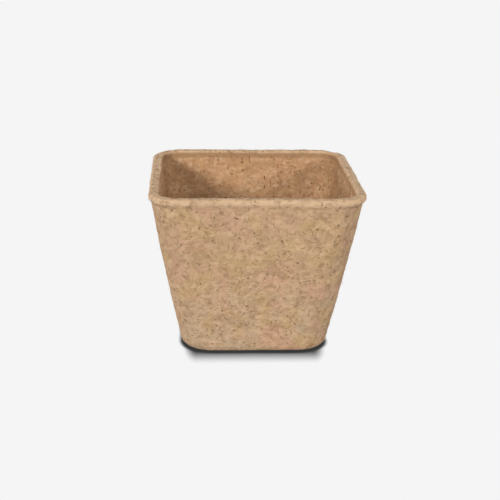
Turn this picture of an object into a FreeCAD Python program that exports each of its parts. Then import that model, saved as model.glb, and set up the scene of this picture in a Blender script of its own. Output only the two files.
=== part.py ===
import FreeCAD, Part
import math
import os

# A square, tapered plant pot, moulded in one piece from peat and wood fibre.
# Millimetres. The origin is the centre of the underside, +Z is up and the front wall faces -Y.

# Outside of the pot
RIM_WIDTH = 80.0
RIM_CORNER_RADIUS = 11.7
BASE_WIDTH = 56.3
BASE_CORNER_RADIUS = 11.5
HEIGHT = 64.0
FOOT_RADIUS = 3.2

# Upright band round the rim, thicker than the wall below it
BAND_HEIGHT = 2.5
BAND_STEP = 0.7
BAND_TOP_RADIUS = 1.2
BAND_LOWER_RADIUS = 0.5

# Wall, measured square to its face, and floor
WALL = 2.7
FLOOR = 3.5
FLOOR_FILLET = 5.0

# Drain holes through the floor, on the corners of a square
DRAIN_DIAMETER = 8.0
DRAIN_SPACING = 26.0

# How far a cutting shape runs past the face it cuts
CUT_OVERRUN = 1.0

# How far from its height an edge may lie and still count as level with it
LEVEL_TOLERANCE = 0.0001

NODE = "moulded_pot"
SIDES = 4

# The walls lean out in a straight line from the underside to the top of the rim
base_half = BASE_WIDTH / 2
wall_top_half = RIM_WIDTH / 2 - BAND_STEP
wall_top_radius = RIM_CORNER_RADIUS - BAND_STEP
lean = (wall_top_half - base_half) / HEIGHT
wall_across = WALL * math.sqrt(1 + lean * lean)
band_foot = HEIGHT - BAND_HEIGHT


def outer_half(height):
    """Half the width over the walls at a height."""
    return base_half + lean * height


def outer_radius(height):
    """Plan radius of the walls' outer corners at a height."""
    return BASE_CORNER_RADIUS + (wall_top_radius - BASE_CORNER_RADIUS) * height / HEIGHT


def rounded_square(half, radius, height):
    """A level, closed wire with straight sides and round corners."""
    flat = half - radius
    bulge = radius * math.cos(math.pi / SIDES)
    edges = []
    for side in range(SIDES):
        turn = 2 * math.pi * side / SIDES

        def place(x, y):
            return FreeCAD.Vector(
                x * math.cos(turn) - y * math.sin(turn),
                x * math.sin(turn) + y * math.cos(turn),
                height,
            )

        edges.append(Part.LineSegment(place(half, -flat), place(half, flat)).toShape())
        corner = Part.Arc(place(half, flat), place(flat + bulge, flat + bulge), place(flat, half))
        edges.append(corner.toShape())
    return Part.Wire(edges)


def level_edges(solid, height):
    """The edges of a solid that lie wholly at one height."""
    found = []
    for edge in solid.Edges:
        furthest = max(abs(edge.BoundBox.ZMin - height), abs(edge.BoundBox.ZMax - height))
        if furthest < LEVEL_TOLERANCE:
            found.append(edge)
    return found


def tapered_block(lower, upper):
    """A solid with straight sides between two rounded squares, each given as half, radius, height."""
    return Part.makeLoft([rounded_square(*lower), rounded_square(*upper)], True, True)


def inner_section(height):
    """The cavity's half width, corner radius and height, one wall inside the outer faces."""
    return outer_half(height) - wall_across, outer_radius(height) - wall_across, height


def walls_and_floor():
    """The tapered walls up to the rim band, and the floor between them."""
    outside = tapered_block(
        (base_half, BASE_CORNER_RADIUS, 0),
        (outer_half(band_foot), outer_radius(band_foot), band_foot),
    )
    outside = outside.makeFillet(FOOT_RADIUS, level_edges(outside, 0))
    soil = tapered_block(inner_section(FLOOR), inner_section(band_foot))
    soil = soil.makeFillet(FLOOR_FILLET, level_edges(soil, FLOOR))
    return outside.cut(soil)


def is_outside(edge):
    """Whether an edge of the rim band lies outside its mouth."""
    box = edge.BoundBox
    mouth_half = inner_section(band_foot)[0]
    middle = (mouth_half + RIM_WIDTH / 2) / 2
    return max(abs(box.XMin), abs(box.XMax), abs(box.YMin), abs(box.YMax)) > middle


def rim_band():
    """The upright band on top of the walls: it stands out of them, and its inside is flush with them."""
    outside = Part.Face(rounded_square(RIM_WIDTH / 2, RIM_CORNER_RADIUS, band_foot))
    mouth = Part.Face(rounded_square(*inner_section(band_foot)))
    band = outside.cut(mouth).extrude(FreeCAD.Vector(0, 0, BAND_HEIGHT))
    band = band.makeFillet(BAND_TOP_RADIUS, level_edges(band, HEIGHT))
    step_edges = [edge for edge in level_edges(band, band_foot) if is_outside(edge)]
    return band.makeFillet(BAND_LOWER_RADIUS, step_edges)


def drain_holes():
    """One upright cutter for each drain hole."""
    reach = FLOOR + 2 * CUT_OVERRUN
    cutters = []
    for x_side in (-1, 1):
        for y_side in (-1, 1):
            foot = FreeCAD.Vector(x_side * DRAIN_SPACING / 2, y_side * DRAIN_SPACING / 2, -CUT_OVERRUN)
            cutters.append(Part.makeCylinder(DRAIN_DIAMETER / 2, reach, foot))
    return cutters


def moulded_pot():
    """The whole pot as one closed solid."""
    pot = walls_and_floor().fuse(rim_band())
    return pot.cut(drain_holes()).removeSplitter()


pot = moulded_pot()
os.makedirs("parts", exist_ok=True)
pot.Solids[0].exportStep(os.path.join("parts", NODE + ".step"))
print(NODE, "solids", len(pot.Solids), "valid", pot.isValid(), "volume", round(pot.Volume))
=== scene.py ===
import math

import bmesh
import bpy
from bpy.props import FloatProperty, FloatVectorProperty, IntProperty, PointerProperty
from mathutils import Matrix, Vector


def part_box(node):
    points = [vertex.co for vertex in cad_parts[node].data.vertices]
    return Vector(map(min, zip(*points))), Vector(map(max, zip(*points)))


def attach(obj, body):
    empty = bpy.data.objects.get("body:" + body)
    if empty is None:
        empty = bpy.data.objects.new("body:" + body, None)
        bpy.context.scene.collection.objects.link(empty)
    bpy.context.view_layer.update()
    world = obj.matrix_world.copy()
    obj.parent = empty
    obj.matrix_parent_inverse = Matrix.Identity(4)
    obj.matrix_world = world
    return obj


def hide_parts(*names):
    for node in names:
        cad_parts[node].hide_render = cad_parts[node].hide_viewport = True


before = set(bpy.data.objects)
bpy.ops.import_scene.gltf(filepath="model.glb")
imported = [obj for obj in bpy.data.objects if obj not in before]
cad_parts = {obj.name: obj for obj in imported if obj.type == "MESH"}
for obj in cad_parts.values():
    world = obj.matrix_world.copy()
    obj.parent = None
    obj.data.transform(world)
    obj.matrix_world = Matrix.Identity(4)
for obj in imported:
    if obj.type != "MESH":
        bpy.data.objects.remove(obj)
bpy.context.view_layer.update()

bl_info = {
    "name": "Moulded Peat Pot",
    "version": (1, 0, 0),
    "blender": (4, 5, 0),
    "location": "3D View > Sidebar > Peat Pot",
    "description": "A square pot moulded from peat and wood fibre, on a plain pale stage",
    "category": "Add Mesh",
}

NODE = "moulded_pot"
BODY = "root"
CAD_LOW, CAD_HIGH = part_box(NODE)
MM = 0.001
UP = Vector((0, 0, 1))

# An edge this close to a height lies at it. A face whose normal has this much of up looks up.
# A face this close to the end of a strand that is still one metre long lies at that end
LEVEL_TOLERANCE = 0.01 * MM
LOOKS_UP = 0.9
AT_END = 0.01

# The leaning walls meet the floor and the underside at more than a right angle, so a bevel there
# starts nearer the edge than its radius
BEVEL_SHARE = 0.82

# A face is inner in full where its normal, times its place in plan, comes to this
INWARD = -5 * MM

# How the templates of each kind differ: bent, stretched or leaning by so much
STRAND_BENDS = (0.3, 0.9, 1.7)
FLECK_STRETCHES = (0.9, 1.2, 1.7)
HAIR_LEANS = (0.8, 1.5, 2.1)

# The width of a strand's ends and of a hair's tip, as shares of the rest. How uneven a fleck is,
# and the bend, in degrees, past which its edges stay sharp
STRAND_END = 0.25
HAIR_TIP = 1 / 6
FLECK_UNEVENNESS = 0.12
FLECK_SHARP = 50

# The smallest and the largest copy, as shares of the template's length, width and height
SMALLEST = (0.45, 0.5, 0.5)
LARGEST = (1.5, 1.3, 1.3)

# What each kind of bit adds to the seed. Each takes four numbers in a row
SEED_STEPS = {"pale_strands": 0, "brown_strands": 10, "bark_flecks": 20, "fine_hairs": 40}

# The lowest that strands and flecks, and hairs, start, so that the pot stands on its own underside
BARE_FOOT = 2 * MM
HAIRLESS_FOOT = 3 * MM

# Layers of chips and of fibre streaks: how each is turned, in radians, its length and its width
CHIP_LAYERS = (((0.3, 0.6, 0.9), 2.6 * MM, 1.3 * MM), ((1.2, 2.2, 0.4), 2.2 * MM, 1.1 * MM))
STREAK_LAYERS = (
    ((0.2, 0.5, 0.7), 4 * MM, 0.4 * MM),
    ((0.9, 2.1, 0.4), 4 * MM, 0.4 * MM),
    ((1.7, 0.9, 2.2), 3 * MM, 0.35 * MM),
)

# Heights over the foot of the rim band between which its paler look sets in, outside and on top.
# It is partly wear and partly painted light, which lifts the shade under the band's step
WEAR_AND_PAINTED_LIGHT_OUTSIDE = (-1 * MM, 0.2 * MM)
WEAR_AND_PAINTED_LIGHT_TOP = (1.3 * MM, 2.2 * MM)

# Painted shade in a line on the inner faces just below the rim: its height over the band's foot,
# and how far above and below that the painted shade ends and is full
CREASE_HEIGHT = 0.7 * MM
CREASE_SHADE_ENDS = (1.5 * MM, 0.5 * MM)

# How far off, in metres, a noise is read that shouldn't match another at the same place
ELSEWHERE = (1, 2, 3)

# The noises at which each mark in the pulp begins, and at which it is full
PIT_DEPTH_ENDS = (0.44, 0.3)
# The pits' dark is painted shade, on the same noise as their depth in the relief
PIT_SHADE_ENDS = (0.46, 0.3)
ROSY_ENDS = (0.44, 0.66)
MOSSY_ENDS = (0.46, 0.68)
CHIPS_TURN_ENDS = (0.45, 0.55)
CHIPS_DARK_ENDS = (0.4, 0)
CHIPS_PALE_ENDS = (0.6, 1)
CLOUDS_DARK_ENDS = (0.48, 0.3)
CLOUDS_PALE_ENDS = (0.52, 0.7)
STREAKS_PALE_ENDS = (0.56, 0.76)
STREAKS_DARK_ENDS = (0.42, 0.22)

# How much dry fibre shines. How rough the pulp is without its grit, and how much more with it
SHINE = 0.15
PULP_ROUGHNESS = 0.82
GRIT_ROUGHNESS = 0.12

# What the grit and the chips add to the pulp's finest relief, and how strongly that is shaded
GRIT_RELIEF = 0.6
CHIP_RELIEF = 0.35
PULP_RELIEF = 0.65

# The bits' own grit: its span, how far it shifts their tone, and its relief's strength and depth
BIT_GRIT_SPAN = 0.5 * MM
BIT_GRIT_TONE = 0.5
BIT_RELIEF = 0.4
BIT_TOOTH = 0.05 * MM

# The share of open sky at which the floor's shade round the foot is full, and at which it ends
CONTACT_ENDS = (0.45, 0.95)

# Each lamp's name, the setting that holds its strength, and in degrees its turn round the pot from
# the front, its height over the horizon, and how wide it looks from the pot
LAMPS = (
    ("front_left", "front_left", -32, 17, 11),
    ("front_right", "front_right", 36, 16, 13),
    ("above", "above", 177, 75, 30),
    ("rear_left", "rear_side", -110, 2, 12),
    ("rear_right", "rear_side", 110, 2, 12),
    ("behind", "behind", 180, 6, 20),
)


def length(name, description, default):
    """A length in metres, shown with its unit."""
    return FloatProperty(
        name=name, description=description, default=default, unit="LENGTH", precision=5
    )


def angle(name, description, degrees):
    """An angle, given in degrees."""
    turn = math.radians(degrees)
    return FloatProperty(name=name, description=description, default=turn, unit="ROTATION")


def colour(name, description, default):
    """A linear colour."""
    return FloatVectorProperty(
        name=name, description=description, default=default, size=3, subtype="COLOR", min=0, max=1
    )


def strength(name, description, default):
    """How strongly a lamp shines or a mark shows."""
    description = "How strongly " + description
    return FloatProperty(name=name, description=description, default=default, min=0)


def tally(name, description, default):
    """A whole number."""
    return IntProperty(name=name, description=description, default=default, min=0)


class PotSizes(bpy.types.PropertyGroup):
    """The moulding's own sizes. The width over the rim and the height come from the frame."""

    rim_width: length("Rim width", "Width over the rim band", CAD_HIGH.x - CAD_LOW.x)
    height: length("Height", "From the underside to the top of the rim", CAD_HIGH.z - CAD_LOW.z)
    base_width: length("Base width", "Width at the underside, without its rounding", 56.3 * MM)
    corner_radius: length("Corner radius", "Plan radius of the outer corners", 11.4 * MM)
    foot_radius: length("Foot radius", "Rounding where the walls meet the underside", 3.2 * MM)
    band_height: length("Band height", "Height of the upright band round the rim", 2.5 * MM)
    band_step: length(
        "Band step", "How far the band stands out of the wall's line at the top", 0.45 * MM
    )
    band_top_radius: length("Band top radius", "Rounding of the band's two top edges", 1.2 * MM)
    band_lower_radius: length("Band lower radius", "Rounding of the band's lower edge", 0.5 * MM)
    wall: length("Wall", "Thickness of the walls, square to their face", 2.95 * MM)
    floor: length("Floor", "Thickness of the floor", 3.5 * MM)
    floor_fillet: length("Floor fillet", "Rounding inside, between floor and walls", 5.0 * MM)
    drain_diameter: length("Drain diameter", "Width of each drain hole", 8.0 * MM)
    drain_spacing: length("Drain spacing", "Distance between the drain holes' centres", 26.0 * MM)
    grain: length("Grain", "Edge length of the pulp's mesh", 0.68 * MM)


class PulpRelief(bpy.types.PropertyGroup):
    """How far the moulding has warped, and how deep and far apart the pulp's lumps and pits are."""

    bow: length("Bow", "How far the walls have bowed out as they dried", 0.3 * MM)
    bow_foot: length("Bow foot", "Height at which the bow begins", 8 * MM)
    bow_height: length("Bow height", "Height at which the bow is fullest", 44 * MM)
    bow_top: length("Bow top", "Height at which the walls are straight again", 63 * MM)
    tuck: length("Tuck", "How far the foot of the walls has drawn in", 0.3 * MM)
    tuck_top: length("Tuck top", "Height up to which the walls draw in", 18 * MM)
    tuck_height: length("Tuck height", "Height below which they have drawn in fully", 8 * MM)
    sway: length("Sway", "Depth of the slow waves in the walls and rim", 0.35 * MM)
    sway_span: length("Sway span", "Distance between the slow waves", 30 * MM)
    lump: length("Lump", "Depth of the soft lumps", 0.26 * MM)
    lump_span: length("Lump span", "Distance between the soft lumps", 5.0 * MM)
    nub: length("Nub", "Depth of the fine roughness", 0.26 * MM)
    nub_span: length("Nub span", "Distance between its grains", 1.9 * MM)
    pit: length("Pit", "Depth of the small pits between the fibres", 0.3 * MM)
    pit_span: length("Pit span", "Distance between the small pits", 2.6 * MM)
    seat: length("Seat", "Height over which the unevenness sets in", 1.5 * MM)


class FibreMix(bpy.types.PropertyGroup):
    """What the pulp is mixed from: the loose strands, flecks and hairs that show on its surface."""

    pale_strands: tally("Pale strands", "Pale wood strands", 6000)
    brown_strands: tally("Brown strands", "Brown wood strands", 3600)
    flecks: tally("Flecks", "Bark and peat flecks", 3200)
    hairs: tally("Hairs", "Fine hairs that stand off the surface", 2600)
    strand_length: length("Strand length", "Length of a middling strand", 3.0 * MM)
    strand_width: length("Strand width", "Width of a middling strand", 0.26 * MM)
    strand_height: length("Strand height", "How far a strand stands out of the pulp", 0.1 * MM)
    fleck_width: length("Fleck width", "Width of a middling fleck", 1.0 * MM)
    fleck_height: length("Fleck height", "How far a fleck stands out of the pulp", 0.09 * MM)
    hair_length: length("Hair length", "Length of a middling hair", 1.3 * MM)
    hair_width: length("Hair width", "Width of a hair at its root", 0.07 * MM)
    seed: tally("Seed", "Picks where the strands, flecks and hairs fall", 7)


class FibreColours(bpy.types.PropertyGroup):
    """Linear colours of the dry pulp and of what is in it."""

    pulp: colour("Pulp", "The main tan of the dry pulp", (0.54, 0.355, 0.208))
    rosy: colour("Rosy patches", "Pinker patches of pulp", (0.585, 0.347, 0.224))
    mossy: colour("Mossy patches", "Yellower patches of pulp", (0.55, 0.366, 0.186))
    foot: colour("Foot", "The greyer pulp towards the foot", (0.535, 0.385, 0.25))
    # The paler rim is partly wear and partly painted light over the band and the shade under its
    # step
    pale: colour("Pale pulp", "The paler lumps of pulp, and the worn rim", (0.70, 0.475, 0.295))
    # Painted shade: faces that look into the pot are coloured darker and warmer, for the dim light
    # inside
    inside: colour("Inside", "The warmer pulp of the inside", (0.52, 0.284, 0.136))
    # Painted shade on the bits that lie inside the pot
    inside_shade_tint: colour(
        "Inside tint", "What the colours of the bits inside are multiplied by", (0.94, 0.79, 0.63)
    )
    # Dark pulp of chips, clouds and streak gaps, and the painted shade in the pits and below the
    # rim inside
    dark_pulp_and_shade: colour("Hollows", "Darker pulp between the fibres", (0.30, 0.18, 0.095))
    strand_pale: colour("Palest strand", "The palest wood strands", (0.68, 0.485, 0.31))
    strand_tan: colour("Tan strand", "Wood strands about as pale as the pulp", (0.47, 0.305, 0.175))
    strand_dark: colour("Darkest strand", "The darkest wood strands", (0.34, 0.20, 0.105))
    fleck_pale: colour("Pale fleck", "The palest flecks", (0.50, 0.325, 0.185))
    fleck_dark: colour("Dark fleck", "Bark and peat flecks", (0.19, 0.112, 0.062))
    hair: colour("Hair", "Fine hairs", (0.60, 0.43, 0.28))


class PulpPattern(bpy.types.PropertyGroup):
    """How far apart the marks in the pulp's colour lie, and how strongly they show."""

    rosy_span: length("Rosy span", "Distance between the rosy patches", 11 * MM)
    mossy_span: length("Mossy span", "Distance between the mossy patches", 10 * MM)
    foot: strength("Foot", "the foot's colour shows", 0.9)
    foot_top: length("Foot top", "Height at which the foot's colour ends", 38 * MM)
    foot_full: length("Foot full", "Height below which the foot's colour is full", 4 * MM)
    # Painted shade: how strongly the inside's darker, warmer colour shows
    inside: strength("Inside", "the inside's colour shows", 0.75)
    chips_dark: strength("Dark chips", "the darker chips show", 0.34)
    chips_pale: strength("Pale chips", "the paler chips show", 0.5)
    chips_turn: length("Chips turn", "Distance over which the chips lie the same way", 3 * MM)
    cloud_span: length("Cloud span", "Distance between the small dark and pale clouds", 4.5 * MM)
    clouds_dark: strength("Dark clouds", "the dark clouds show", 0.38)
    clouds_pale: strength("Pale clouds", "the pale clouds show", 0.6)
    # Painted shade in the pits: how dark they are painted
    pits: strength("Pits", "the pits' dark shows", 0.42)
    streaks_pale: strength("Pale streaks", "the pale streaks of fibre show", 0.2)
    streaks_dark: strength("Dark streaks", "the dark between the streaks shows", 0.22)
    # Painted shade in a line on the inner faces just below the rim: how dark it is painted
    crease_shade: strength("Crease", "the dark crease inside the rim shows", 0.55)
    drift: length("Drift", "How far the fibres wander", 1.1 * MM)
    drift_span: length("Drift span", "Distance between their bends", 1.3 * MM)
    grit_span: length("Grit span", "Distance between the finest grains", 0.45 * MM)
    tooth: length("Tooth", "Depth of the finest relief, which is only shaded", 0.2 * MM)


class StageLook(bpy.types.PropertyGroup):
    """The floor, the lamps and the camera."""

    backdrop: colour(
        "Backdrop", "Colour of the floor and of what lies behind it", (0.913, 0.913, 0.913)
    )
    floor_colour: colour("Floor", "The floor's colour as the pot is lit by it", (0.42, 0.42, 0.42))
    floor_radius: length("Floor radius", "How far the floor reaches", 6.0)
    shade: colour("Shade", "The darkest of the shade at the pot's foot", (0.04, 0.04, 0.04))
    contact_reach: length("Contact reach", "How far the shade reaches all round the foot", 2.5 * MM)
    shade_half_width: length("Shade half width", "Half the width of the shade in front", 26 * MM)
    shade_front: length("Shade front", "How far before the pot's axis it is half gone", 32.3 * MM)
    shade_corner: length("Shade corner", "Rounding of its corners, seen from the front", 3.8 * MM)
    shade_blur: length("Shade blur", "How far its side edges fade, either way", 2.2 * MM)
    world_light: strength("World light", "the light from all round shines", 0.05)
    front_left: strength("Front left lamp", "the main lamp shines", 2.23)
    front_right: strength("Front right lamp", "the second lamp shines", 1.25)
    above: strength("Lamp above", "the lamp above the pot shines", 0.7)
    rear_side: strength("Rear side lamps", "each low lamp at a side shines", 1.5)
    behind: strength("Lamp behind", "the low lamp behind the pot shines", 1.85)
    camera_target: FloatVectorProperty(
        name="Camera target",
        description="The point at the middle of the picture",
        default=(-0.99 * MM, 0, 32.15 * MM),
        size=3,
        unit="LENGTH",
        precision=5,
    )
    camera_distance: length("Camera distance", "From the target to the lens", 437.5 * MM)
    camera_azimuth: angle("Camera azimuth", "Turn of the camera round the pot", -3.15)
    camera_elevation: angle("Camera elevation", "Height of the camera above level", 18.44)
    camera_roll: angle("Camera roll", "Tilt of the picture", 0.98)
    lens: FloatProperty(
        name="Lens", description="Focal length in millimetres", default=78.93, unit="CAMERA"
    )


def deselect_all():
    """Leaves nothing selected, so that an operator acts only on what is picked next."""
    bpy.ops.object.select_all(action="DESELECT")


def pick(piece):
    """Makes a piece the one selected and active object."""
    deselect_all()
    piece.select_set(True)
    bpy.context.view_layer.objects.active = piece


def apply_modifier(piece, modifier):
    """Applies one modifier to its piece."""
    pick(piece)
    bpy.ops.object.modifier_apply(modifier=modifier.name)


def select(piece, kind, wanted):
    """In edit mode, selects just the faces or edges that a test picks. Kind is FACE or EDGE."""
    bpy.ops.mesh.select_mode(type=kind)
    bpy.ops.mesh.select_all(action="DESELECT")
    mesh = bmesh.from_edit_mesh(piece.data)
    for element in mesh.faces if kind == "FACE" else mesh.edges:
        element.select_set(wanted(element))
    bmesh.update_edit_mesh(piece.data)


def middle(element):
    """The middle of an edge or a face."""
    return sum((vertex.co for vertex in element.verts), Vector()) / len(element.verts)


def level_at(height):
    """A test for edges that lie at one height."""
    return lambda edge: all(abs(vertex.co.z - height) < LEVEL_TOLERANCE for vertex in edge.verts)


def looks_up(face):
    """A test for faces that look up."""
    return face.normal.z > LOOKS_UP


def runs_along(axis, reach):
    """A test for edges that run further than a reach along one axis."""
    return lambda edge: abs(getattr(edge.verts[0].co - edge.verts[1].co, axis)) > reach


def outer_half(sizes, height):
    """Half the width over the leaning walls at a height."""
    base_half = sizes.base_width / 2
    top_half = sizes.rim_width / 2 - sizes.band_step
    return base_half + (top_half - base_half) * height / sizes.height


def wall_across(sizes):
    """The wall's thickness, measured level."""
    lean = (outer_half(sizes, sizes.height) - outer_half(sizes, 0)) / sizes.height
    return sizes.wall * math.sqrt(1 + lean * lean)


def widen(share, height):
    """Scales what is selected in plan, about the pot's upright axis."""
    bpy.ops.transform.resize(value=(share, share, 1), center_override=(0, 0, height))


def bevel_edges(radius, segments):
    """Rounds the selected edges."""
    bpy.ops.mesh.bevel(offset=radius, segments=segments, affect="EDGES")


def extrude_faces(rise):
    """Extrudes the selected faces straight up, or down where rise is below nothing."""
    bpy.ops.mesh.extrude_region_move(TRANSFORM_OT_translate={"value": (0, 0, rise)})


def plain_moulding(sizes):
    """The pot before its surface is roughened: a block, tapered, rounded, banded and hollowed."""
    band_foot = sizes.height - sizes.band_height
    deselect_all()
    block = (sizes.base_width, sizes.base_width, band_foot)
    bpy.ops.mesh.primitive_cube_add(size=1, location=(0, 0, band_foot / 2), scale=block)
    pot = bpy.context.object
    bpy.ops.object.transform_apply()
    bpy.ops.object.mode_set(mode="EDIT")

    select(pot, "FACE", looks_up)
    widen(outer_half(sizes, band_foot) / outer_half(sizes, 0), band_foot)
    select(pot, "EDGE", runs_along("z", band_foot / 2))
    bevel_edges(sizes.corner_radius, segments=10)
    select(pot, "EDGE", level_at(0))
    bevel_edges(sizes.foot_radius * BEVEL_SHARE, segments=4)

    select(pot, "FACE", looks_up)
    extrude_faces(0)
    widen(sizes.rim_width / 2 / outer_half(sizes, band_foot), band_foot)
    extrude_faces(sizes.band_height)
    mouth_half = outer_half(sizes, band_foot) - wall_across(sizes)
    bpy.ops.mesh.inset(thickness=sizes.rim_width / 2 - mouth_half, depth=0)
    extrude_faces(-sizes.band_height)
    extrude_faces(sizes.floor - band_foot)
    widen((outer_half(sizes, sizes.floor) - wall_across(sizes)) / mouth_half, sizes.floor)

    select(pot, "EDGE", level_at(sizes.height))
    bevel_edges(sizes.band_top_radius, segments=4)
    outside = (mouth_half + sizes.rim_width / 2) / 2
    at_foot = level_at(band_foot)

    def band_lower(edge):
        reach = max(abs(middle(edge).x), abs(middle(edge).y))
        return at_foot(edge) and reach > outside

    select(pot, "EDGE", band_lower)
    bevel_edges(sizes.band_lower_radius, segments=2)
    select(pot, "EDGE", level_at(sizes.floor))
    bevel_edges(sizes.floor_fillet * BEVEL_SHARE, segments=5)
    bpy.ops.object.mode_set(mode="OBJECT")
    return pot


def drain_cutter(sizes):
    """Four round posts through the floor, as one piece."""
    deselect_all()
    reach = sizes.drain_spacing / 2
    posts = []
    for x_side in (-1, 1):
        for y_side in (-1, 1):
            bpy.ops.mesh.primitive_cylinder_add(
                vertices=32,
                radius=sizes.drain_diameter / 2,
                depth=3 * sizes.floor,
                location=(x_side * reach, y_side * reach, sizes.floor / 2),
            )
            posts.append(bpy.context.object)
    for post in posts:
        post.select_set(True)
    bpy.ops.object.join()
    bpy.ops.object.transform_apply()
    return bpy.context.object


def open_drains(pot, sizes):
    """Cuts the drain holes through the floor."""
    posts = drain_cutter(sizes)
    cut = pot.modifiers.new("Drains", "BOOLEAN")
    cut.operation = "DIFFERENCE"
    cut.solver = "EXACT"
    cut.object = posts
    apply_modifier(pot, cut)
    bpy.data.objects.remove(posts)


def add_node(tree, kind, inputs=None, **options):
    """Adds a node, sets its options, and gives its inputs a value or the output that feeds them."""
    node = tree.nodes.new(kind)
    for name, value in options.items():
        setattr(node, name, value)
    for name, value in (inputs or {}).items():
        if isinstance(value, bpy.types.NodeSocket):
            tree.links.new(value, node.inputs[name])
        else:
            node.inputs[name].default_value = value
    return node


def math_node(tree, operation, *values, clamp=False):
    """The output of one arithmetic node."""
    inputs = dict(enumerate(values))
    return add_node(tree, "ShaderNodeMath", inputs, operation=operation, use_clamp=clamp).outputs[0]


def chained(tree, operation, first, *others):
    """What one operation makes of several values, taken one after another."""
    for other in others:
        first = math_node(tree, operation, first, other)
    return first


def scaled(tree, value, share):
    """One value times another."""
    return math_node(tree, "MULTIPLY", value, share)


def vector_node(tree, operation, *values):
    """The output of one vector arithmetic node. SCALE takes a vector and a number."""
    slots = (0, "Scale") if operation == "SCALE" else (0, 1)
    node = add_node(tree, "ShaderNodeVectorMath", dict(zip(slots, values)), operation=operation)
    return node.outputs["Value" if operation in ("LENGTH", "DOT_PRODUCT") else "Vector"]


def noise(tree, where, span, detail=2, roughness=0.5, distortion=0, output="Fac"):
    """A soft noise whose lumps lie about one span apart. It lies mostly between 0.3 and 0.7."""
    inputs = {"Vector": where, "Scale": 1 / span, "Detail": detail}
    inputs.update({"Roughness": roughness, "Distortion": distortion})
    return add_node(tree, "ShaderNodeTexNoise", inputs).outputs[output]


def swing(tree, where, span, reach, detail):
    """A vector that wanders to either side of nothing, by up to about a reach."""
    wander = noise(tree, where, span, detail=detail, output="Color")
    wander = vector_node(tree, "SUBTRACT", wander, (0.5, 0.5, 0.5))
    return vector_node(tree, "SCALE", wander, reach)


def ramped(tree, value, low, high):
    """A value's share of the way from low to high, kept between nothing and all."""
    ends = {"Value": value, "From Min": low, "From Max": high}
    return add_node(tree, "ShaderNodeMapRange", ends, interpolation_type="SMOOTHSTEP").outputs[0]


def geometry_tree(name):
    """An empty geometry node tree with one mesh in and one out."""
    tree = bpy.data.node_groups.new(name, "GeometryNodeTree")
    tree.interface.new_socket("Geometry", in_out="INPUT", socket_type="NodeSocketGeometry")
    tree.interface.new_socket("Geometry", in_out="OUTPUT", socket_type="NodeSocketGeometry")
    mesh_in = tree.nodes.new("NodeGroupInput").outputs[0]
    mesh_out = tree.nodes.new("NodeGroupOutput").inputs[0]
    return tree, mesh_in, mesh_out


def apply_tree(piece, tree):
    """Runs a geometry node tree on a piece and keeps the result as its mesh."""
    modifier = piece.modifiers.new(tree.name, "NODES")
    modifier.node_group = tree
    apply_modifier(piece, modifier)
    bpy.data.node_groups.remove(tree)


def warp(tree, across, height, relief, sizes):
    """How far a point moves as the walls dry: out between the foot and the rim, and in at the foot.

    Across is its place in plan. The floor between and around the drain holes stays where it is.
    """
    reach = vector_node(tree, "LENGTH", across)
    holes_end = sizes.drain_spacing * math.sqrt(0.5) + sizes.drain_diameter / 2
    wall = ramped(tree, reach, holes_end, holes_end + sizes.floor)
    swell = ramped(tree, height, relief.bow_foot, relief.bow_height)
    hold = ramped(tree, height, relief.bow_top, relief.bow_height)
    bow = chained(tree, "MULTIPLY", swell, hold, relief.bow)
    tuck = scaled(tree, ramped(tree, height, relief.tuck_top, relief.tuck_height), -relief.tuck)
    outward = scaled(tree, math_node(tree, "ADD", bow, tuck), wall)
    heading = vector_node(tree, "NORMALIZE", across)
    return vector_node(tree, "SCALE", heading, outward)


def roughen(pot, relief, sizes):
    """Gives the moulding its bowed walls and the pulp's uneven surface. The underside stays level.

    The attribute inner marks the faces that look in towards the pot's upright axis.
    """
    tree, mesh_in, mesh_out = geometry_tree("Relief")
    place = add_node(tree, "GeometryNodeInputPosition").outputs[0]
    normal = add_node(tree, "GeometryNodeInputNormal").outputs[0]
    height = add_node(tree, "ShaderNodeSeparateXYZ", {0: place}).outputs["Z"]
    across = vector_node(tree, "MULTIPLY", place, (1, 1, 0))
    held = math_node(tree, "DIVIDE", height, relief.seat, clamp=True)

    lump = noise(tree, place, relief.lump_span, detail=2)
    lump = scaled(tree, math_node(tree, "SUBTRACT", lump, 0.5), 2 * relief.lump)
    nub = noise(tree, place, relief.nub_span, detail=3, roughness=0.6, distortion=0.4)
    nub = scaled(tree, math_node(tree, "SUBTRACT", nub, 0.5), 2 * relief.nub)
    pit = noise(tree, place, relief.pit_span, detail=2)
    pit = scaled(tree, ramped(tree, pit, *PIT_DEPTH_ENDS), -relief.pit)
    rise = vector_node(tree, "SCALE", normal, chained(tree, "ADD", lump, nub, pit))

    sway = swing(tree, place, relief.sway_span, 2 * relief.sway, detail=1)
    offset = vector_node(tree, "ADD", sway, rise)
    offset = vector_node(tree, "SCALE", offset, held)
    offset = vector_node(tree, "ADD", offset, warp(tree, across, height, relief, sizes))
    inner = ramped(tree, vector_node(tree, "DOT_PRODUCT", normal, across), 0, INWARD)
    kept = stored(tree, mesh_in, "inner", inner, "POINT")
    moved = add_node(tree, "GeometryNodeSetPosition", {"Geometry": kept, "Offset": offset})
    tree.links.new(moved.outputs[0], mesh_out)
    apply_tree(pot, tree)


def curl(piece, axis, turn):
    """Bends a piece about one of its own axes."""
    bend = piece.modifiers.new("Curl", "SIMPLE_DEFORM")
    bend.deform_method = "BEND"
    bend.deform_axis = axis
    bend.angle = turn
    apply_modifier(piece, bend)


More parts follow.
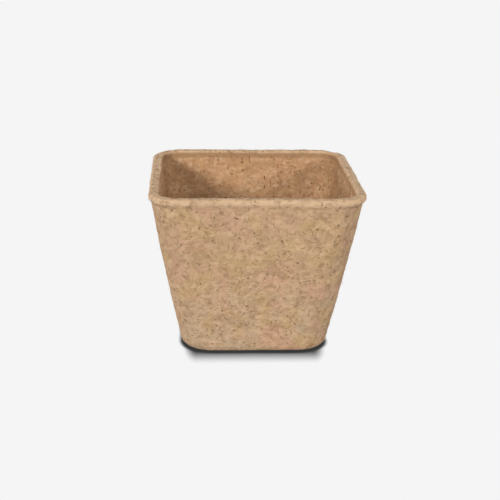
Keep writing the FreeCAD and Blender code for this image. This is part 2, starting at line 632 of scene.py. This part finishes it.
def strand_template(mix, bend):
    """One wood strand lying along X: three-sided, drawn in at both ends and bent in plan."""
    deselect_all()
    half = 0.5
    bpy.ops.mesh.primitive_cylinder_add(
        vertices=3, radius=half, depth=2 * half, rotation=(0, math.pi / 2, 0)
    )
    strand = bpy.context.object
    bpy.ops.object.transform_apply()
    bpy.ops.object.mode_set(mode="EDIT")
    select(strand, "EDGE", runs_along("x", half))
    bpy.ops.mesh.subdivide(number_cuts=2)
    for end in (-half, half):
        select(strand, "FACE", lambda face: abs(middle(face).x - end) < AT_END)
        bpy.ops.transform.resize(value=(1, STRAND_END, STRAND_END), center_override=(end, 0, 0))
    bpy.ops.mesh.select_all(action="SELECT")
    size = (mix.strand_length, mix.strand_width, 2 * mix.strand_height)
    bpy.ops.transform.resize(value=size, center_override=(0, 0, 0))
    bpy.ops.object.mode_set(mode="OBJECT")
    curl(strand, "Z", bend)
    return strand


def fleck_template(mix, stretch, seed):
    """One flat fleck with an uneven outline."""
    deselect_all()
    bpy.ops.mesh.primitive_ico_sphere_add(subdivisions=1, radius=0.5)
    fleck = bpy.context.object
    bpy.ops.object.mode_set(mode="EDIT")
    bpy.ops.mesh.select_all(action="SELECT")
    bpy.ops.transform.vertex_random(offset=FLECK_UNEVENNESS, uniform=1, normal=0, seed=seed)
    size = (mix.fleck_width * stretch, mix.fleck_width / stretch, 2 * mix.fleck_height)
    bpy.ops.transform.resize(value=size, center_override=(0, 0, 0))
    bpy.ops.object.mode_set(mode="OBJECT")
    return fleck


def hair_template(mix, lean):
    """One fine hair, rooted at the origin, three-sided, pointed and leaning towards X."""
    deselect_all()
    root = mix.hair_width / 2
    bpy.ops.mesh.primitive_cone_add(
        vertices=3, radius1=root, radius2=root * HAIR_TIP, depth=mix.hair_length
    )
    hair = bpy.context.object
    bpy.ops.object.mode_set(mode="EDIT")
    select(hair, "EDGE", runs_along("z", mix.hair_length / 2))
    bpy.ops.mesh.subdivide(number_cuts=2)
    bpy.ops.mesh.select_all(action="SELECT")
    bpy.ops.transform.translate(value=(0, 0, mix.hair_length / 2))
    bpy.ops.object.mode_set(mode="OBJECT")
    curl(hair, "Y", lean)
    return hair


def keep_lift(template):
    """Stores each corner's height over the template's own plane, which a draped copy keeps."""
    lift = template.data.attributes.new("lift", "FLOAT", "POINT")
    for index, vertex in enumerate(template.data.vertices):
        lift.data[index].value = vertex.co.z


def nearest(tree, mesh, value):
    """What a vector comes to on a mesh, at the place of its surface that lies nearest."""
    inputs = {"Mesh": mesh, "Value": value}
    sampled = add_node(tree, "GeometryNodeSampleNearestSurface", inputs, data_type="FLOAT_VECTOR")
    return sampled.outputs[0]


def random_value(tree, kind, low, high, seed):
    """A random number, of kind FLOAT, or vector, of kind FLOAT_VECTOR, for each point or copy."""
    lowest, drawn = {"FLOAT": (2, 1), "FLOAT_VECTOR": (0, 0)}[kind]
    inputs = {lowest: low, lowest + 1: high, "Seed": seed}
    return add_node(tree, "FunctionNodeRandomValue", inputs, data_type=kind).outputs[drawn]


def stored(tree, pieces, name, value, domain):
    """The pieces, with a number kept under a name: one for each POINT or each INSTANCE."""
    inputs = {"Geometry": pieces, "Name": name, "Value": value}
    kind = "GeometryNodeStoreNamedAttribute"
    return add_node(tree, kind, inputs, data_type="FLOAT", domain=domain).outputs[0]


def copies_over(pot, name, templates, count, seed, clear, draped):
    """One new mesh with many turned copies of the templates, spread over the pot above a height.

    Draped copies follow the pot's surface. Each copy has a random share, tone, and takes the pot's
    attribute inner from where it lies. Its material reads both.
    """
    shelf = bpy.data.collections.new(name + "_templates")
    for template in templates:
        keep_lift(template)
        shelf.objects.link(template)

    tree, mesh_in, mesh_out = geometry_tree(name)
    place = add_node(tree, "GeometryNodeInputPosition").outputs[0]
    height = add_node(tree, "ShaderNodeSeparateXYZ", {0: place}).outputs["Z"]
    options = {"data_type": "FLOAT", "operation": "GREATER_THAN"}
    above = add_node(tree, "FunctionNodeCompare", {0: height, 1: clear}, **options)
    area = sum(face.area for face in pot.data.polygons)
    spots = add_node(
        tree,
        "GeometryNodeDistributePointsOnFaces",
        {"Mesh": mesh_in, "Selection": above.outputs[0], "Density": count / area, "Seed": seed},
    )
    choices = add_node(
        tree,
        "GeometryNodeCollectionInfo",
        {"Collection": shelf, "Separate Children": True, "Reset Children": True},
    )
    spin = random_value(tree, "FLOAT", 0, 2 * math.pi, seed + 1)
    turn = add_node(tree, "FunctionNodeAxisAngleToRotation", {"Axis": UP, "Angle": spin})
    turned = add_node(
        tree,
        "FunctionNodeRotateRotation",
        {"Rotation": spots.outputs["Rotation"], "Rotate By": turn.outputs[0]},
        rotation_space="LOCAL",
    )
    copies = add_node(
        tree,
        "GeometryNodeInstanceOnPoints",
        {
            "Points": spots.outputs["Points"],
            "Instance": choices.outputs[0],
            "Pick Instance": True,
            "Rotation": turned.outputs[0],
            "Scale": random_value(tree, "FLOAT_VECTOR", SMALLEST, LARGEST, seed + 2),
        },
    )
    tone = random_value(tree, "FLOAT", 0, 1, seed + 3)
    toned = stored(tree, copies.outputs[0], "tone", tone, "INSTANCE")
    last = add_node(tree, "GeometryNodeRealizeInstances", {"Geometry": toned})
    if draped:
        kind = "GeometryNodeInputNamedAttribute"
        lift = add_node(tree, kind, {"Name": "lift"}, data_type="FLOAT")
        normal = add_node(tree, "GeometryNodeInputNormal").outputs[0]
        up = vector_node(tree, "NORMALIZE", nearest(tree, mesh_in, normal))
        up = vector_node(tree, "SCALE", up, lift.outputs[0])
        seat = vector_node(tree, "ADD", nearest(tree, mesh_in, place), up)
        inputs = {"Geometry": last.outputs[0], "Position": seat}
        last = add_node(tree, "GeometryNodeSetPosition", inputs)
    tree.links.new(last.outputs[0], mesh_out)

    spread = bpy.data.objects.new(name, pot.data.copy())
    bpy.context.scene.collection.objects.link(spread)
    apply_tree(spread, tree)
    for template in templates:
        bpy.data.objects.remove(template)
    bpy.data.collections.remove(shelf)
    spread.data.attributes.remove(spread.data.attributes["lift"])
    return spread


def finish_piece(piece, name, material, smooth_angle):
    """Names a piece, gives it its material and shading, and ties it to the body."""
    piece.name = name
    piece.data.name = name
    piece.data.materials.clear()
    piece.data.materials.append(material)
    pick(piece)
    bpy.ops.object.shade_smooth_by_angle(angle=smooth_angle)
    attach(piece, BODY)


def lay_bits(scene, name, templates, count, clear, look, draped=True, smooth_angle=math.pi):
    """Spreads one kind of bit over the pot and finishes it."""
    pot = bpy.data.objects["pressed_pulp"]
    seed = scene.fibre_mix.seed + SEED_STEPS[name]
    bits = copies_over(pot, name, templates, count, seed, clear, draped)
    finish_piece(bits, name, look, smooth_angle)


def material_tree(name):
    """A new material with an empty node tree and its output."""
    material = bpy.data.materials.new(name)
    material.use_nodes = True
    material.node_tree.nodes.clear()
    return material, material.node_tree, material.node_tree.nodes.new("ShaderNodeOutputMaterial")


def opaque(tone):
    """A colour as a node takes it. An output stays as it is."""
    return tone if isinstance(tone, bpy.types.NodeSocket) else (*tone, 1)


def mixed(tree, share, first, second, blend="MIX"):
    """A colour between two others. Each is a colour or an output."""
    inputs = {0: share, 6: opaque(first), 7: opaque(second)}
    options = {"data_type": "RGBA", "blend_type": blend, "clamp_result": True}
    return add_node(tree, "ShaderNodeMix", inputs, **options).outputs[2]


def marked(tree, tone, mark, value, ends, shows=1):
    """A tone with a mark's colour over it, from where a value is at the first end to the second."""
    return mixed(tree, scaled(tree, ramped(tree, value, *ends), shows), tone, mark)


def drawn_out(tree, where, turn, long, thin):
    """Places for a pattern that is drawn out along one direction."""
    inputs = {"Vector": where, "Rotation": turn, "Scale": (thin / long, 1, 1)}
    return add_node(tree, "ShaderNodeMapping", inputs).outputs[0]


def streaks(tree, where, turn, long, thin):
    """Noise drawn out into thin streaks along one direction."""
    stretched = drawn_out(tree, where, turn, long, thin)
    return noise(tree, stretched, thin, detail=2, roughness=0.6, distortion=0.6)


def chips(tree, where, turn, long, thin):
    """Flat chips pressed together, drawn out along one direction: a random share for each chip."""
    stretched = drawn_out(tree, where, turn, long, thin)
    cells = add_node(tree, "ShaderNodeTexVoronoi", {"Vector": stretched, "Scale": 1 / thin})
    return add_node(tree, "ShaderNodeSeparateColor", {0: cells.outputs["Color"]}).outputs[0]


def dry_surface(tree, output, tone, roughness, relief, relief_share, depth):
    """A dull surface of a tone, with a fine relief that is only shaded."""
    inputs = {"Strength": relief_share, "Distance": depth, "Height": relief}
    bump = add_node(tree, "ShaderNodeBump", inputs).outputs[0]
    look = {"Base Color": tone, "Roughness": roughness, "Specular IOR Level": SHINE}
    shader = add_node(tree, "ShaderNodeBsdfPrincipled", {**look, "Normal": bump})
    tree.links.new(shader.outputs[0], output.inputs[0])


def pulp_material(scene):
    """Dry pressed pulp: tan, mottled in patches, made of chips, streaked with fibre and gritty."""
    colours, pattern, sizes = scene.fibre_colours, scene.pulp_pattern, scene.pot_sizes
    material, tree, output = material_tree("peat_pulp")
    place = add_node(tree, "ShaderNodeTexCoord").outputs["Object"]
    elsewhere = vector_node(tree, "ADD", place, ELSEWHERE)
    height = add_node(tree, "ShaderNodeSeparateXYZ", {0: place}).outputs["Z"]
    over_step = math_node(tree, "SUBTRACT", height, sizes.height - sizes.band_height)
    inner = add_node(tree, "ShaderNodeAttribute", attribute_name="inner").outputs["Fac"]
    wander = swing(tree, place, pattern.drift_span, pattern.drift, detail=2)
    bent = vector_node(tree, "ADD", place, wander)

    rosy = noise(tree, place, pattern.rosy_span, detail=2, roughness=0.6)
    mossy = noise(tree, elsewhere, pattern.mossy_span, detail=2, roughness=0.6)
    foot_ends = (pattern.foot_top, pattern.foot_full)
    tone = marked(tree, colours.pulp, colours.foot, height, foot_ends, pattern.foot)
    tone = marked(tree, tone, colours.rosy, rosy, ROSY_ENDS)
    tone = marked(tree, tone, colours.mossy, mossy, MOSSY_ENDS)
    # Painted shade: faces that look into the pot take the darker, warmer inside colour
    tone = mixed(tree, scaled(tree, inner, pattern.inside), tone, colours.inside)
    # The rim band and top are painted paler: partly wear, partly painted light over the step's
    # shade
    outer = math_node(tree, "SUBTRACT", 1, inner)
    wear_and_painted_light = scaled(tree, ramped(tree, over_step, *WEAR_AND_PAINTED_LIGHT_OUTSIDE), outer)
    wear_and_painted_light = math_node(tree, "MAXIMUM", wear_and_painted_light, ramped(tree, over_step, *WEAR_AND_PAINTED_LIGHT_TOP))
    tone = mixed(tree, wear_and_painted_light, tone, colours.pale)

    near, far = (chips(tree, bent, *layer) for layer in CHIP_LAYERS)
    which = ramped(tree, noise(tree, place, pattern.chips_turn), *CHIPS_TURN_ENDS)
    ends = {0: which, 2: near, 3: far}
    chip = add_node(tree, "ShaderNodeMix", ends, data_type="FLOAT").outputs[0]
    tone = marked(tree, tone, colours.dark_pulp_and_shade, chip, CHIPS_DARK_ENDS, pattern.chips_dark)
    tone = marked(tree, tone, colours.pale, chip, CHIPS_PALE_ENDS, pattern.chips_pale)
    cloud = noise(tree, elsewhere, pattern.cloud_span, detail=3, roughness=0.7)
    tone = marked(tree, tone, colours.dark_pulp_and_shade, cloud, CLOUDS_DARK_ENDS, pattern.clouds_dark)
    tone = marked(tree, tone, colours.pale, cloud, CLOUDS_PALE_ENDS, pattern.clouds_pale)
    # Painted shade in the pits, read from the same noise as their depth in the relief
    pit = noise(tree, place, scene.pulp_relief.pit_span, detail=2)
    tone = marked(tree, tone, colours.dark_pulp_and_shade, pit, PIT_SHADE_ENDS, pattern.pits)

    layers = [streaks(tree, bent, *layer) for layer in STREAK_LAYERS]
    fibre = chained(tree, "MAXIMUM", *layers)
    trough = chained(tree, "MINIMUM", *layers)
    tone = marked(tree, tone, colours.strand_pale, fibre, STREAKS_PALE_ENDS, pattern.streaks_pale)
    tone = marked(tree, tone, colours.dark_pulp_and_shade, trough, STREAKS_DARK_ENDS, pattern.streaks_dark)
    # Painted shade: a dark line on the faces that look into the pot, just below the rim
    from_crease = math_node(tree, "ABSOLUTE", math_node(tree, "SUBTRACT", over_step, CREASE_HEIGHT))
    crease_shade = scaled(tree, ramped(tree, from_crease, *CREASE_SHADE_ENDS), inner)
    tone = mixed(tree, scaled(tree, crease_shade, pattern.crease_shade), tone, colours.dark_pulp_and_shade)

    grit = noise(tree, place, pattern.grit_span, detail=2, roughness=0.7)
    fine = (scaled(tree, grit, GRIT_RELIEF), trough, scaled(tree, chip, CHIP_RELIEF))
    relief = chained(tree, "ADD", fibre, *fine)
    roughness = math_node(tree, "MULTIPLY_ADD", grit, GRIT_ROUGHNESS, PULP_ROUGHNESS)
    dry_surface(tree, output, tone, roughness, relief, PULP_RELIEF, pattern.tooth)
    return material


def loose_material(name, dark, pale, tint, roughness=0.8, skew=1):
    """Loose bits, from dark to pale by each bit's own tone. A skew under one makes few dark.

    The bits that lie inside the pot take the tint, which is painted shade.
    """
    material, tree, output = material_tree(name)
    place = add_node(tree, "ShaderNodeTexCoord").outputs["Object"]
    tone = add_node(tree, "ShaderNodeAttribute", attribute_name="tone").outputs["Fac"]
    tone = math_node(tree, "POWER", tone, skew)
    grit = noise(tree, place, BIT_GRIT_SPAN, detail=2)
    off_middle = math_node(tree, "SUBTRACT", grit, 0.5)
    share = math_node(tree, "MULTIPLY_ADD", off_middle, BIT_GRIT_TONE, tone, clamp=True)
    inner = add_node(tree, "ShaderNodeAttribute", attribute_name="inner").outputs["Fac"]
    coloured = mixed(tree, inner, mixed(tree, share, dark, pale), tint, blend="MULTIPLY")
    dry_surface(tree, output, coloured, roughness, grit, BIT_RELIEF, BIT_TOOTH)
    return material


class PEATPOT_OT_mould(bpy.types.Operator):
    """Moulds the pot: walls, floor, rim band and drain holes in one closed piece"""

    bl_idname = "peat_pot.mould"
    bl_label = "Mould the Pot"

    def execute(self, context):
        scene = context.scene
        sizes = scene.pot_sizes
        pot = plain_moulding(sizes)
        open_drains(pot, sizes)
        skin = pot.modifiers.new("Skin", "REMESH")
        skin.mode = "VOXEL"
        skin.voxel_size = sizes.grain
        apply_modifier(pot, skin)
        roughen(pot, scene.pulp_relief, sizes)
        finish_piece(pot, "pressed_pulp", pulp_material(scene), math.pi)
        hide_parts(NODE)
        return {"FINISHED"}


class PEATPOT_OT_strands(bpy.types.Operator):
    """Lays pale and brown wood strands over the pulp"""

    bl_idname = "peat_pot.strands"
    bl_label = "Lay the Wood Strands"

    def execute(self, context):
        scene = context.scene
        mix, colours = scene.fibre_mix, scene.fibre_colours
        groups = (
            ("pale_strands", mix.pale_strands, colours.strand_tan, colours.strand_pale),
            ("brown_strands", mix.brown_strands, colours.strand_dark, colours.strand_tan),
        )
        for name, count, dark, pale in groups:
            templates = [strand_template(mix, bend) for bend in STRAND_BENDS]
            look = loose_material(name, dark, pale, colours.inside_shade_tint)
            lay_bits(scene, name, templates, count, BARE_FOOT, look)
        return {"FINISHED"}


class PEATPOT_OT_flecks(bpy.types.Operator):
    """Presses bark and peat flecks into the pulp"""

    bl_idname = "peat_pot.flecks"
    bl_label = "Press in the Flecks"

    def execute(self, context):
        scene = context.scene
        mix, colours = scene.fibre_mix, scene.fibre_colours
        stretches = enumerate(FLECK_STRETCHES)
        templates = [fleck_template(mix, stretch, mix.seed + turn) for turn, stretch in stretches]
        ends = (colours.fleck_dark, colours.fleck_pale)
        look = loose_material("bark_fleck", *ends, colours.inside_shade_tint, roughness=0.85, skew=0.45)
        sharp = math.radians(FLECK_SHARP)
        lay_bits(scene, "bark_flecks", templates, mix.flecks, BARE_FOOT, look, smooth_angle=sharp)
        return {"FINISHED"}


class PEATPOT_OT_hairs(bpy.types.Operator):
    """Raises fine hairs from the pulp"""

    bl_idname = "peat_pot.hairs"
    bl_label = "Raise the Hairs"

    def execute(self, context):
        scene = context.scene
        mix, colours = scene.fibre_mix, scene.fibre_colours
        templates = [hair_template(mix, lean) for lean in HAIR_LEANS]
        look = loose_material("fine_hair", colours.strand_tan, colours.hair, colours.inside_shade_tint)
        lay_bits(scene, "fine_hairs", templates, mix.hairs, HAIRLESS_FOOT, look, draped=False)
        return {"FINISHED"}


def split_rays(tree, output, lights, shows):
    """One shader for what lights the pot, and one for what the camera sees or sees reflected."""
    rays = add_node(tree, "ShaderNodeLightPath").outputs
    kinds = ("Is Camera Ray", "Is Glossy Ray", "Is Transmission Ray")
    seen = chained(tree, "MAXIMUM", *(rays[kind] for kind in kinds))
    ends = {0: seen, 1: lights.outputs[0], 2: shows.outputs[0]}
    both = add_node(tree, "ShaderNodeMixShader", ends)
    tree.links.new(both.outputs[0], output.inputs[0])


def plain_background(stage):
    """The world: an even, soft light, with the backdrop's colour where it is seen."""
    world = bpy.data.worlds.new("Studio")
    bpy.context.scene.world = world
    world.use_nodes = True
    tree = world.node_tree
    tree.nodes.clear()
    inputs = {"Color": (1, 1, 1, 1), "Strength": stage.world_light}
    light = add_node(tree, "ShaderNodeBackground", inputs)
    inputs = {"Color": opaque(stage.backdrop), "Strength": 1}
    plain = add_node(tree, "ShaderNodeBackground", inputs)
    split_rays(tree, tree.nodes.new("ShaderNodeOutputWorld"), light, plain)


def clear_of_shade(tree, stage):
    """Nothing under the pot and in the shade in front of its foot, all where the floor is clear.

    The shade is a rounded oblong. It is seen slantwise, so it fades further forwards than sideways.
    """
    slant = math.sin(stage.camera_elevation)
    place = add_node(tree, "ShaderNodeTexCoord").outputs["Object"]
    corner = stage.shade_corner
    folded = vector_node(tree, "MULTIPLY", place, (1, slant, 0))
    folded = vector_node(tree, "ABSOLUTE", folded)
    straight = (stage.shade_half_width - corner, stage.shade_front * slant - corner, 0)
    past = vector_node(tree, "SUBTRACT", folded, straight)
    past = vector_node(tree, "MAXIMUM", past, (0, 0, 0))
    reach = vector_node(tree, "LENGTH", past)
    outside = ramped(tree, reach, corner - stage.shade_blur, corner + stage.shade_blur)
    spot = add_node(tree, "ShaderNodeSeparateXYZ", {0: place}).outputs
    behind = ramped(tree, spot["Y"], -stage.shade_half_width, -stage.shade_half_width / 2)
    from_axis = [math_node(tree, "ABSOLUTE", spot[axis]) for axis in ("X", "Y")]
    beside = math_node(tree, "MAXIMUM", *from_axis)
    beside = ramped(tree, beside, stage.shade_half_width - corner, stage.shade_half_width)
    return scaled(tree, beside, math_node(tree, "MAXIMUM", outside, behind))


def lay_floor(stage):
    """A wide, pale, matt floor, seen in the backdrop's colour and dark close to the pot's foot."""
    deselect_all()
    bpy.ops.mesh.primitive_circle_add(vertices=96, radius=stage.floor_radius, fill_type="NGON")
    floor = bpy.context.object
    floor.name = "floor"
    material, tree, output = material_tree("pale_floor")
    inputs = {"Distance": stage.contact_reach}
    open_sky = add_node(tree, "ShaderNodeAmbientOcclusion", inputs, samples=24).outputs["AO"]
    contact = ramped(tree, open_sky, *CONTACT_ENDS)
    clear = scaled(tree, contact, clear_of_shade(tree, stage))
    tone = mixed(tree, clear, stage.shade, stage.backdrop)
    plain = add_node(tree, "ShaderNodeEmission", {"Color": tone, "Strength": 1})
    lit = add_node(tree, "ShaderNodeBsdfDiffuse", {"Color": opaque(stage.floor_colour)})
    split_rays(tree, output, lit, plain)
    floor.data.materials.append(material)


def out_from_pot(turn, rise):
    """The direction out from the pot at a turn to the right of the front and a rise over level."""
    level = Vector((math.sin(turn), -math.cos(turn), 0))
    return level * math.cos(rise) + UP * math.sin(rise)


def hang_lamp(name, power, turn, rise, spread):
    """A far, soft lamp. Spread is how wide it looks from the pot. All angles are in degrees."""
    deselect_all()
    towards = out_from_pot(math.radians(turn), math.radians(rise))
    facing = towards.to_track_quat("Z", "Y").to_euler()
    bpy.ops.object.light_add(type="SUN", location=towards, rotation=facing)
    lamp = bpy.context.object
    lamp.name = name
    lamp.data.energy = power
    lamp.data.angle = math.radians(spread)


def stand_camera(stage):
    """The camera, at the angle from which the pot was seen."""
    azimuth = stage.camera_azimuth
    back = out_from_pot(azimuth, stage.camera_elevation)
    level = Vector((math.cos(azimuth), math.sin(azimuth), 0))
    right = Matrix.Rotation(stage.camera_roll, 3, back) @ level
    place = Matrix((right, back.cross(right), back)).transposed().to_4x4()
    place.translation = Vector(stage.camera_target) + stage.camera_distance * back
    bpy.ops.object.camera_add()
    camera = bpy.context.object
    camera.matrix_world = place
    camera.data.lens = stage.lens
    camera.data.clip_start = 10 * MM
    bpy.context.scene.camera = camera


class PEATPOT_OT_stage(bpy.types.Operator):
    """Sets the pale floor, the soft lamps and the camera"""

    bl_idname = "peat_pot.stage"
    bl_label = "Set the Stage"

    def execute(self, context):
        stage = context.scene.stage_look
        plain_background(stage)
        lay_floor(stage)
        for name, setting, turn, rise, spread in LAMPS:
            hang_lamp(name, getattr(stage, setting), turn, rise, spread)
        stand_camera(stage)
        context.scene.view_settings.view_transform = "Standard"
        return {"FINISHED"}


class PEATPOT_PT_sidebar(bpy.types.Panel):
    """The pot's sizes, colours and steps"""

    bl_label = "Peat Pot"
    bl_idname = "PEATPOT_PT_sidebar"
    bl_space_type = "VIEW_3D"
    bl_region_type = "UI"
    bl_category = "Peat Pot"

    def draw(self, context):
        for group in SETTINGS:
            box = self.layout.box()
            box.label(text=group.__name__)
            settings = getattr(context.scene, SETTINGS[group])
            for key in group.__annotations__:
                box.prop(settings, key)
        for step in STEPS:
            self.layout.operator(step.bl_idname)


SETTINGS = {
    PotSizes: "pot_sizes",
    PulpRelief: "pulp_relief",
    FibreMix: "fibre_mix",
    FibreColours: "fibre_colours",
    PulpPattern: "pulp_pattern",
    StageLook: "stage_look",
}
STEPS = (
    PEATPOT_OT_mould,
    PEATPOT_OT_strands,
    PEATPOT_OT_flecks,
    PEATPOT_OT_hairs,
    PEATPOT_OT_stage,
)


def register():
    """Registers the settings, the steps and the panel."""
    for group, name in SETTINGS.items():
        bpy.utils.register_class(group)
        setattr(bpy.types.Scene, name, PointerProperty(type=group))
    for step in (*STEPS, PEATPOT_PT_sidebar):
        bpy.utils.register_class(step)


def unregister():
    """Takes away what register added."""
    for step in (PEATPOT_PT_sidebar, *reversed(STEPS)):
        bpy.utils.unregister_class(step)
    for group, name in SETTINGS.items():
        delattr(bpy.types.Scene, name)
        bpy.utils.unregister_class(group)


def main():
    """Builds the pot and its stage."""
    register()
    bpy.ops.peat_pot.mould()
    bpy.ops.peat_pot.strands()
    bpy.ops.peat_pot.flecks()
    bpy.ops.peat_pot.hairs()
    bpy.ops.peat_pot.stage()


if __name__ == "__main__":
    main()
